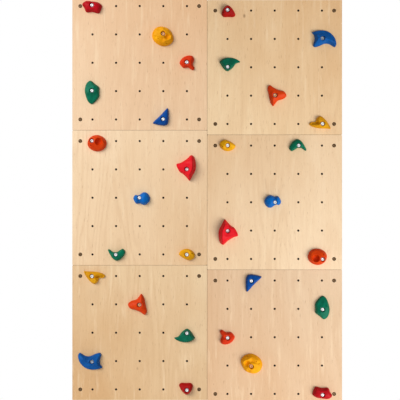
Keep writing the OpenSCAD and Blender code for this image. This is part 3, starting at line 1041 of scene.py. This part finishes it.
# %% Read an outline from a CAD node
def rim_of(node):
    """The hold's outline on the panel, as an ordered loop about its bolt, in millimetres."""
    bm = bmesh.new()
    bm.from_mesh(frame["nodes"][node].data)
    bmesh.ops.remove_doubles(bm, verts=bm.verts, dist=1e-6)
    flat = {f for f in bm.faces if all(abs(v.co.y - FRONT) < 1e-5 for v in f.verts)}
    border = {}
    for edge in bm.edges:
        if sum(f in flat for f in edge.link_faces) == 1:
            a, b = edge.verts
            border.setdefault(a, []).append(b)
            border.setdefault(b, []).append(a)
    loops = []
    while border:
        start = next(iter(border))
        loop, here = [start], start
        while True:
            onward = [v for v in border[here] if v in border and v not in loop[1:] and v is not here]
            onward = [v for v in onward if len(loop) < 2 or v is not loop[-2]]
            if not onward or (onward[0] is start):
                break
            here = onward[0]
            loop.append(here)
        for v in loop:
            border.pop(v, None)
        loops.append(loop)
    widest = max(loops, key=lambda l: max(v.co.x for v in l) - min(v.co.x for v in l))
    bolt = BOLT_AT[node]
    points = np.array([((v.co.x - bolt.x) / MM, (v.co.z - bolt.z) / MM) for v in widest])
    bm.free()
    return points


bean = rim_of("left_blue_bean")
print("the bean's outline has", len(bean), "corners and is", np.ptp(bean[:, 0]).round(1), "mm wide")

# %% [markdown]
# The CAD outline has only as many corners as the shape needs. A smooth closed curve is drawn through them,
# and points are then set along it at even distances, so that all the triangles come out about equal.

# %% Smooth the outline and spread points along it
def curve_through(points, steps=12):
    """A closed smooth curve through the points."""
    t = (np.arange(steps) / steps)[None, :, None]
    p0, p1, p2, p3 = (np.roll(points, shift, axis=0)[:, None, :] for shift in (1, 0, -1, -2))
    curve = (2 * p1 + (p2 - p0) * t + (2 * p0 - 5 * p1 + 4 * p2 - p3) * t**2
             + (3 * p1 - p0 - 3 * p2 + p3) * t**3) / 2
    return curve.reshape(-1, 2)


def spread(points, count):
    """A closed line's points at even distances, turning anticlockwise."""
    if np.sum(points[:, 0] * np.roll(points[:, 1], -1) - np.roll(points[:, 0], -1) * points[:, 1]) < 0:
        points = points[::-1]
    ring = np.vstack([points, points[:1]])
    along = np.r_[0, np.cumsum(np.linalg.norm(np.diff(ring, axis=0), axis=1))]
    wanted = np.arange(count) / count * along[-1]
    return np.stack([np.interp(wanted, along, ring[:, k]) for k in (0, 1)], axis=1)


print("a curve through them has", len(curve_through(bean)), "points")

# %% [markdown]
# The top of a hold needs points that know where the outline is. Four small measuring helpers come first: a
# circle of points, the distance to an outline, whether a point is inside it, and a sieve that drops points
# that lie too close to others.

# %% Measure about an outline
def circle(x, z, r, count):
    """Points round a circle, anticlockwise."""
    a = np.arange(count) / count * 2 * math.pi
    return np.stack([x + r * np.cos(a), z + r * np.sin(a)], axis=1)


def distance_to(outline, points):
    """Each point's distance to a closed outline."""
    a, b = outline, np.roll(outline, -1, axis=0)
    ab = b - a
    nearest = np.full(len(points), np.inf)
    for k in range(len(a)):
        t = np.clip(((points - a[k]) @ ab[k]) / (ab[k] @ ab[k]), 0, 1)
        nearest = np.minimum(nearest, np.linalg.norm(points - a[k] - t[:, None] * ab[k], axis=1))
    return nearest


def within(outline, points):
    """True for each point inside a closed outline."""
    a, b = outline, np.roll(outline, -1, axis=0)
    x, z = points[:, :1], points[:, 1:]
    spans = (a[:, 1] > z) != (b[:, 1] > z)
    rise = np.where(b[:, 1] == a[:, 1], 1, b[:, 1] - a[:, 1])
    crossing = a[:, 0] + (z - a[:, 1]) * (b[:, 0] - a[:, 0]) / rise
    return (np.sum(spans & (x < crossing), axis=1) % 2) == 1


def apart(points, others, gap):
    """The points that keep a gap from all the others."""
    if not len(others) or not len(points):
        return points
    return points[np.linalg.norm(points[:, None] - others[None], axis=2).min(axis=1) > gap]


plate = circle(0, 0, 40, 180)
print("from the middle of an 80 mm plate to its edge:", distance_to(plate, np.zeros((1, 2))).round(1), "mm")

# %% [markdown]
# A few loops just inside the outline follow the steep foot, rings follow each hole's rim, and an even
# honeycomb of points fills the rest. A point is left out where it would crowd another loop or ring, which
# happens at the outline's bends and between a hole and the edge.

# %% Spread points over the hold
CELL = 1.7
EDGE_LOOPS = (0.3, 0.8, 1.5, 2.5)
RIM_RINGS = (0.7, 1.8)
LOOP_KEEPS = 0.93
LOOP_OFF_HOLE = 0.3
RING_OFF_EDGE = 0.5
RING_KEEPS = 0.9
RING_GAP = 0.45
COMB_OFF = 0.5
COMB_GAP = 0.7
RECESS_R = 10.0
BORE_R = 4.5


def inner_points(outline, holes):
    """Loops along the outline, rings round the holes and a honeycomb between them."""
    def clear(points, edge, rim):
        points = points[within(outline, points)]
        points = points[distance_to(outline, points) > edge]
        for x, z, r in holes:
            points = points[np.linalg.norm(points - (x, z), axis=1) > r + rim]
        return points

    side = np.roll(outline, -1, axis=0) - np.roll(outline, 1, axis=0)
    inward = np.stack([-side[:, 1], side[:, 0]], axis=1) / np.linalg.norm(side, axis=1)[:, None]
    kept = np.vstack([clear(outline + inward * d, LOOP_KEEPS * d, LOOP_OFF_HOLE) for d in EDGE_LOOPS])
    for x, z, r in holes:
        for d in RIM_RINGS:
            ring = circle(x, z, r + d, int(2 * math.pi * (r + d) / CELL))
            ring = clear(ring, RING_OFF_EDGE, RING_KEEPS * d)
            kept = np.vstack([kept, apart(ring, kept, RING_GAP * CELL)])
    low, high = outline.min(axis=0), outline.max(axis=0)
    rows = np.arange(low[1], high[1], CELL * math.sqrt(3) / 2)
    columns = np.arange(low[0], high[0], CELL)
    comb = np.array([(x + (k % 2) * CELL / 2, z) for k, z in enumerate(rows) for x in columns])
    comb = clear(comb, EDGE_LOOPS[-1] + COMB_OFF * CELL, COMB_OFF * CELL)
    return np.vstack([kept, apart(comb, kept, COMB_GAP * CELL)])


plate_points = inner_points(plate, [(0, 0, RECESS_R)])
print("a round plate of 80 mm with a recess gets", len(plate_points), "points")

# %% [markdown]
# Delaunay's rule joins the points, so no triangle folds over another, however the outline bends. It would
# fill the bays of the outline and the holes as well, so a triangle is kept only if its middle lies inside
# the outline and outside every hole.

# %% Join the points into triangles
def triangles(loops, points):
    """Delaunay triangles between an outline and the round holes in it; corners count from the outline on."""
    corners = np.vstack([*loops, points]) if len(points) else np.vstack(loops)
    borders, start = [], 0
    for loop in loops:
        borders += [(start + i, start + (i + 1) % len(loop)) for i in range(len(loop))]
        start += len(loop)
    found, _, faces, sources, _, _ = delaunay_2d_cdt([Vector(p) for p in corners], borders, [], 0, 1e-7)
    source = [s[0] if s else -1 for s in sources]
    middles = np.array([np.mean([found[i] for i in face], axis=0) for face in faces])
    keep = within(loops[0], middles)
    for loop in loops[1:]:
        keep &= ~within(loop, middles)
    joined = []
    for face, good in zip(faces, keep):
        if good:
            a, b, c = (source[i] for i in face)
            turn = np.cross(corners[b] - corners[a], corners[c] - corners[a])
            joined.append((a, b, c) if turn > 0 else (a, c, b))
    return corners, joined


print("and", len(triangles([plate, circle(0, 0, RECESS_R, 48)], plate_points)[1]), "triangles")

# %% [markdown]
# The height starts at a thin edge, rises over a short rounded foot and goes on as a steep side. A soft boss
# round the recess keeps the bolt's seat thick. The slabs cut all this off, and a smooth minimum rounds the
# ridges where they meet. Hollows, long ridges and a faint ripple of the hand-shaped original come last, and
# they fade out towards the edge, so that the outline stays where it is.

# %% Work out the height
EDGE_H = 2.2
FOOT = 4.5
FOOT_WIDTH = 1.1
SIDE_SLOPE = 2.1
BLEND = 2.0
BOSS = 10.0
BOSS_WIDTH = 4.5
FADE = 7.0
RIPPLE = 0.5
RIPPLE_LENGTH = 17.0
RIPPLE_LAYER = 0.37


def relief(points, outline, faces, hollows, ridges):
    """The hold's height over the panel at each point, in millimetres."""
    edge = distance_to(outline, points)
    from_bolt = np.linalg.norm(points, axis=1)
    side = EDGE_H + SIDE_SLOPE * edge + FOOT * (1 - np.exp(-edge / FOOT_WIDTH))
    side += BOSS * np.exp(-(np.maximum(from_bolt - RECESS_R, 0) / BOSS_WIDTH) ** 2)
    heights = [side] + [h + gx * points[:, 0] + gz * points[:, 1] for h, gx, gz in faces]
    height = -BLEND * np.log(sum(np.exp(-h / BLEND) for h in heights))
    inland = np.clip(edge / FADE, 0, 1)
    for x, z, r, depth in hollows:
        u = np.linalg.norm(points - (x, z), axis=1) / r
        height -= inland * np.where(u < 1, depth * (1 - np.minimum(u, 1) ** 2) ** 2, 0)
    for x1, z1, x2, z2, width, rise in ridges:
        start = np.array((x1, z1))
        way = np.array((x2 - x1, z2 - z1))
        t = np.clip((points - start) @ way / (way @ way), 0, 1)
        u = np.linalg.norm(points - start - t[:, None] * way, axis=1) / width
        height += inland * rise * np.exp(-u ** 2)
    layer = RIPPLE_LAYER * len(outline)
    waves = [fractal(Vector((x / RIPPLE_LENGTH, z / RIPPLE_LENGTH, layer)), 1.0, 2.0, 2) for x, z in points]
    return np.maximum(EDGE_H, height + inland * RIPPLE * np.array(waves))


steps = np.array([(39.0, 0.0), (37.0, 0.0), (30.0, 0.0), (14.0, 0.0)])
heights = relief(steps, plate, [(30, 0, 0)], [], [])
print("under a 30 mm slab, at 1, 3, 10 and 26 mm from the plate's edge:", heights.round(1), "mm")

# %% [markdown]
# Fifteen different holds come from short lists: the slabs that bound each one, the round hollows pressed
# into it, and the long ridges (or valleys, where the rise is negative) drawn along it.

# %% The fifteen shapes, in millimetres about the bolt
# faces: height at the bolt, slope to the right, slope upwards
# hollows: x, z, radius, depth; ridges: from x, z, to x, z, width, rise
SHAPES = {
    "red_wedge": ([(31, 0.02, -0.6), (31, 0.1, 0.35), (38, -0.45, 0), (38, 0.45, 0)], [], []),
    "yellow_disc": ([(36, 0.12, -0.25), (37, -0.28, 0.22)],
                    [(18, -13, 18, 17), (-16, 22, 16, 3), (10, 20, 11, 5)],
                    [(-32, -16, -2, -24, 6, -7), (6, -36, 32, -22, 6, 6), (16, 14, 36, 4, 5, -6)]),
    "orange_knob": ([(28, 0.05, -0.3), (27, 0.15, 0.35), (34, -0.55, 0.1)], [(13, -2, 11, 5)], []),
    "green_oval": ([(31, 0.3, -0.3), (33, -0.5, 0.1), (31, -0.05, 0.4)], [], [(12, 26, -8, -34, 7, 2)]),
    "blue_triangle": ([(25, 0.15, -0.3), (27, -0.45, 0.0), (27, 0.1, 0.5)], [], [(-30, -8, 12, 34, 7, 1.5)]),
    "orange_pocket": ([(31, 0.1, -0.16), (36, -0.14, 0.3)], [], [(-6, 22, 30, 18, 8, -2.5)]),
    "red_fin": ([(29, 0.36, 0.04), (62, -0.8, 0.05), (44, 0.2, -0.42)], [], [(-8, -34, 4, 14, 9, -2)]),
    "blue_bean": ([(29, 0.4, 0.0), (27, 0.2, -0.4), (40, -0.5, 0.05), (34, 0.1, 0.5)], [],
                  [(0, -12, 0, -26, 8, -8)]),
    "green_crescent": ([(27, 0.1, -0.5), (26, 0, 0.4), (34, -0.5, 0), (34, 0.5, 0)], [], []),
    "yellow_oval": ([(26, 0.16, -0.4), (28, -0.25, 0.45)], [], [(-10, 10, 8, 12, 6, -2.5)]),
    "yellow_fork": ([(28, 0.05, -0.55), (28, 0.3, 0.5), (36, -0.5, 0.05)], [(22, -5, 14, 11)],
                    [(-30, 12, 22, 6, 5, 3), (10, -5, 44, -3, 5, -10)]),
    "orange_spur": ([(32, 0.32, -0.35), (33, -0.6, 0.05), (30, 0.15, 0.45)], [], []),
    "green_bird": ([(30, 0.1, -0.45), (28, 0.25, 0.4), (38, -0.5, 0.05)], [], []),
    "blue_flag": ([(34, -0.05, -0.5), (29, 0.15, 0.6), (46, -0.35, -0.1), (44, 0.5, 0.1)],
                  [(-22, 14, 20, 4)], [(-62, 18, 38, -18, 4, 2.5)]),
    "red_shield": ([(28, 0.05, -0.35), (31, 0.05, 0.4), (36, -0.5, 0), (34, 0.5, 0)], [], []),
}
PIN_HOLES = {
    "yellow_disc": [(-22, -22), (16, -44)],
    "orange_pocket": [(-4, -20)],
    "yellow_oval": [(23, 6)],
    "yellow_fork": [(-29, 15)],
}
POCKETS = {"orange_pocket": [(30, -4, 16.0, 9.0)]}
print(len(SHAPES), "shapes,", len(PIN_HOLES), "with screw holes and", len(POCKETS), "with a pocket")

# %% [markdown]
# Every hole is a stack of rings that starts at a circle of the net. The recess and the pocket first turn
# over a rounded rim, because the casting has no sharp rims. The recess ends in a flat floor with the bolt's
# bore in it, the pocket in a bowl, and a screw hole runs straight through to the back. The back stays a
# hair's breadth off the panel, so that a hold turns freely, even over the seam to the next panel.

# %% A closed mesh that grows ring by ring
RIM_TURNS = np.radians([22, 45, 68, 90])


class Shape:
    """A closed mesh that grows ring by ring: x and z about the bolt, and h out from the panel."""

    def __init__(self):
        self.corners, self.faces = [], []

    def ring(self, points, heights):
        """Adds a loop of corners and returns their numbers."""
        start = len(self.corners)
        self.corners += [(x, z, h) for (x, z), h in zip(points, np.broadcast_to(heights, len(points)))]
        return list(range(start, start + len(points)))

    def join(self, *rings):
        """Bridges each ring to the next."""
        for a, b in zip(rings, rings[1:]):
            for i in range(len(a)):
                j = (i + 1) % len(a)
                self.faces.append((a[i], a[j], b[j], b[i]))

    def hole(self, top, x, z, r, rim, levels):
        """Runs a rounded rim and then rings of given radius and height down from a circle of the top."""
        heights = np.array([self.corners[i][2] for i in top])
        rings = [top]
        if rim:
            for a in RIM_TURNS:
                points = circle(x, z, r + rim * (1 - math.sin(a)), len(top))
                rings.append(self.ring(points, heights - rim * (1 - math.cos(a))))
        rings += [self.ring(circle(x, z, radius, len(top)), h) for radius, h in levels]
        self.join(*rings)
        return rings[-1]


cup = Shape()
cup.hole(cup.ring(circle(0, 0, 5, 12), 10), 0, 0, 4, 1, [(4, 2), (1, 0)])
print("a small cup has", len(cup.corners), "corners and", len(cup.faces), "faces")

# %% [markdown]
# A hold's mesh is put together from the net on top, the short wall under its outline, the stacks of rings
# in its holes, and a flat back with the same holes in it. A rim's rounding never takes more than its share
# of a thin wall. The net's heights are scaled so that the hold stands as high as its CAD node.

# %% Build one hold as a closed mesh
STEP_ALONG = 1.35
SEAT = 0.05
RIM = 3.4
RIM_OF_WALL = 0.45
RIM_OF_GAP = 0.42
PIN_R = 2.0
RECESS_POINTS = 48
PIN_POINTS = 16
POCKET_POINTS = 56
BOWL_TURNS = np.radians([70, 50, 30, 14, 5])


def hold_shape(name):
    """The corners and faces of one hold, in millimetres about its bolt."""
    line = curve_through(rim_of(f"left_{name}"))
    length = np.linalg.norm(np.roll(line, -1, axis=0) - line, axis=1).sum()
    outline = spread(line, int(length / STEP_ALONG))
    wall = np.linalg.norm(outline, axis=1).min() - RECESS_R
    pockets = POCKETS.get(name, [])
    between = min([math.hypot(x, z) - r - RECESS_R for x, z, r, _ in pockets], default=2 * wall)
    rim = min(RIM, RIM_OF_WALL * wall, RIM_OF_GAP * between)
    recess = (0, 0, RECESS_R + rim)
    pins = [(x, z, PIN_R) for x, z in PIN_HOLES.get(name, ())]
    pocket = [(x, z, r + rim) for x, z, r, _ in pockets]
    holes = [recess, *pins, *pocket]
    counts = [RECESS_POINTS] + [PIN_POINTS] * len(pins) + [POCKET_POINTS] * len(pocket)
    loops = [outline] + [circle(*hole, count) for hole, count in zip(holes, counts)]
    net, top_faces = triangles(loops, inner_points(outline, holes))
    heights = relief(net, outline, *SHAPES[name])
    full = (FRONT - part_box(f"left_{name}")[0].y) / MM
    heights = EDGE_H + (heights - EDGE_H) * (full - EDGE_H) / (heights.max() - EDGE_H)

    shape = Shape()
    numbers = shape.ring(net, heights)
    shape.faces += top_faces
    starts = np.cumsum([0] + [len(loop) for loop in loops])
    tops = [numbers[a:b] for a, b in zip(starts, starts[1:])]
    foot = shape.ring(outline, SEAT)
    shape.join(foot, shape.ring(outline, EDGE_H * 0.5), tops[0])
    bore = shape.hole(tops[1], 0, 0, RECESS_R, rim, [
        (RECESS_R, HOLD_FLOOR + 0.5), (RECESS_R - 0.5, HOLD_FLOOR), (BORE_R + 0.4, HOLD_FLOOR),
        (BORE_R, HOLD_FLOOR - 0.4), (BORE_R, SEAT)])
    backs = [bore]
    for (x, z, r), top in zip(pins, tops[2:]):
        backs.append(shape.hole(top, x, z, r, 0, [(r, SEAT)]))
    for (x, z, r, floor_h), top in zip(pockets, tops[2 + len(pins):]):
        bowl = [(r * math.sin(a), floor_h + r * (1 - math.cos(a))) for a in BOWL_TURNS]
        last = shape.hole(top, x, z, r, rim, [(r, floor_h + r), *bowl])
        shape.faces.append(tuple(reversed(last)))
    back_loops = [outline, circle(0, 0, BORE_R, RECESS_POINTS)] + [circle(*pin, PIN_POINTS) for pin in pins]
    _, back_faces = triangles(back_loops, np.empty((0, 2)))
    back_numbers = foot + [i for ring in backs for i in ring]
    shape.faces += [tuple(back_numbers[i] for i in reversed(face)) for face in back_faces]
    lowest = heights[len(outline):].min()
    print(f"{name:15s} {len(shape.faces)} faces, {full:.1f} mm high, lowest inside {lowest:.1f} mm")
    return shape


print("the recess takes a rim of up to", RIM, "mm")

# %% [markdown]
# ## Resin finish
#
# Cast polyester holds have an even colour all through, a satin skin and a fine grit that gives grip. The
# grit is a small bump, and the colour is a touch deeper between the grains.

# %% The resin finish
def resin(name, colour, deep):
    """Satin moulded resin with fine grit and faint clouds."""
    material, tree, shader, coords = new_material(name, 0.5)
    clouds = noise(tree, coords, 38, 3, 0.55)
    grit = noise(tree, coords, 1500, 2, 0.6)
    base = mix(tree, ramp(tree, clouds, 0.3, 0.7), colour, deep)
    base = mix(tree, ramp(tree, grit, 0.35, 0.75, 0.0, 0.12), base, deep)
    tree.links.new(base, shader.inputs["Base Color"])
    tree.links.new(ramp(tree, clouds, 0.25, 0.75, 0.44, 0.58), shader.inputs["Roughness"])
    shader.inputs["Specular IOR Level"].default_value = 0.12
    bump(tree, shader, grit, 0.3, 0.0003)
    return material


COLOURS = {
    "red_wedge": ((190, 8, 26), (166, 4, 18)),
    "red_fin": ((226, 18, 34), (208, 10, 26)),
    "red_shield": ((174, 6, 6), (148, 4, 4)),
    "orange_spur": ((222, 66, 6), (200, 52, 2)),
    "orange_pocket": ((224, 70, 6), (204, 54, 2)),
    "orange_knob": ((220, 58, 14), (198, 44, 8)),
    "green_oval": ((0, 116, 88), (0, 92, 66)),
    "green_crescent": ((0, 118, 88), (0, 95, 68)),
    "green_bird": ((0, 108, 82), (0, 86, 62)),
    "blue_bean": ((6, 110, 200), (2, 90, 172)),
    "blue_triangle": ((4, 80, 166), (0, 62, 138)),
    "blue_flag": ((2, 92, 172), (0, 70, 138)),
    "yellow_disc": ((244, 172, 6), (222, 144, 2)),
    "yellow_oval": ((236, 174, 8), (210, 144, 2)),
    "yellow_fork": ((228, 166, 14), (204, 138, 6)),
}
SLOTS = {colour: f"{colour}_resin" for colour in ("red", "orange", "yellow", "green", "blue")}
finishes = {name: resin(f"resin_{name}", srgb(*colour), srgb(*deep))
            for name, (colour, deep) in COLOURS.items()}
print(len(finishes), "resin finishes in", len(SLOTS), "colours")

# %% [markdown]
# Each shape is used twice: upright on its bolt in the left column, and turned by half a turn on its bolt in
# the right column. A turn changes the sign of both x and z, which keeps the faces pointing outwards. The
# closed mesh is tested for each shape, because a gap would show as a dark crack.

# %% Put each shape on both of its bolts
SHARP = 46


def hold(side, name, shape):
    """One finished hold on its bolt. The right column's holds are turned by half a turn."""
    node = f"{side}_{name}"
    bolt = BOLT_AT[node]
    sign = -1 if side == "right" else 1
    mesh = bpy.data.meshes.new(node)
    corners = [(bolt.x + sign * x * MM, FRONT - h * MM, bolt.z + sign * z * MM)
               for x, z, h in shape.corners]
    mesh.from_pydata(corners, [], shape.faces)
    mesh.validate()
    for polygon in mesh.polygons:
        polygon.use_smooth = True
    mesh.set_sharp_from_angle(angle=math.radians(SHARP))
    mesh.materials.append(finishes[name])
    piece = bpy.data.objects.new(f"{node}_hold", mesh)
    bpy.context.scene.collection.objects.link(piece)
    return fit(piece, node, SLOTS[name.split("_")[0]], node)


for name in SHAPES:
    shape = hold_shape(name)
    for side in SIDES:
        piece = hold(side, name, shape)
    test = bmesh.new()
    test.from_mesh(piece.data)
    print("   closed:", all(edge.is_manifold for edge in test.edges), "volume",
          round(test.calc_volume(signed=True) / MM**3 / 1000, 1), "cm3")
    test.free()

# %% [markdown]
# ## Hand over
#
# The last cell prints how far the visible model's box lies from the CAD box, side by side.

# %% Print the sizes
low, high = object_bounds()
gaps = [round((a - b) / MM, 2) for a, b in zip((*low, *high), (*cad_low, *cad_high))]
print("visual minus CAD box, mm:", gaps)
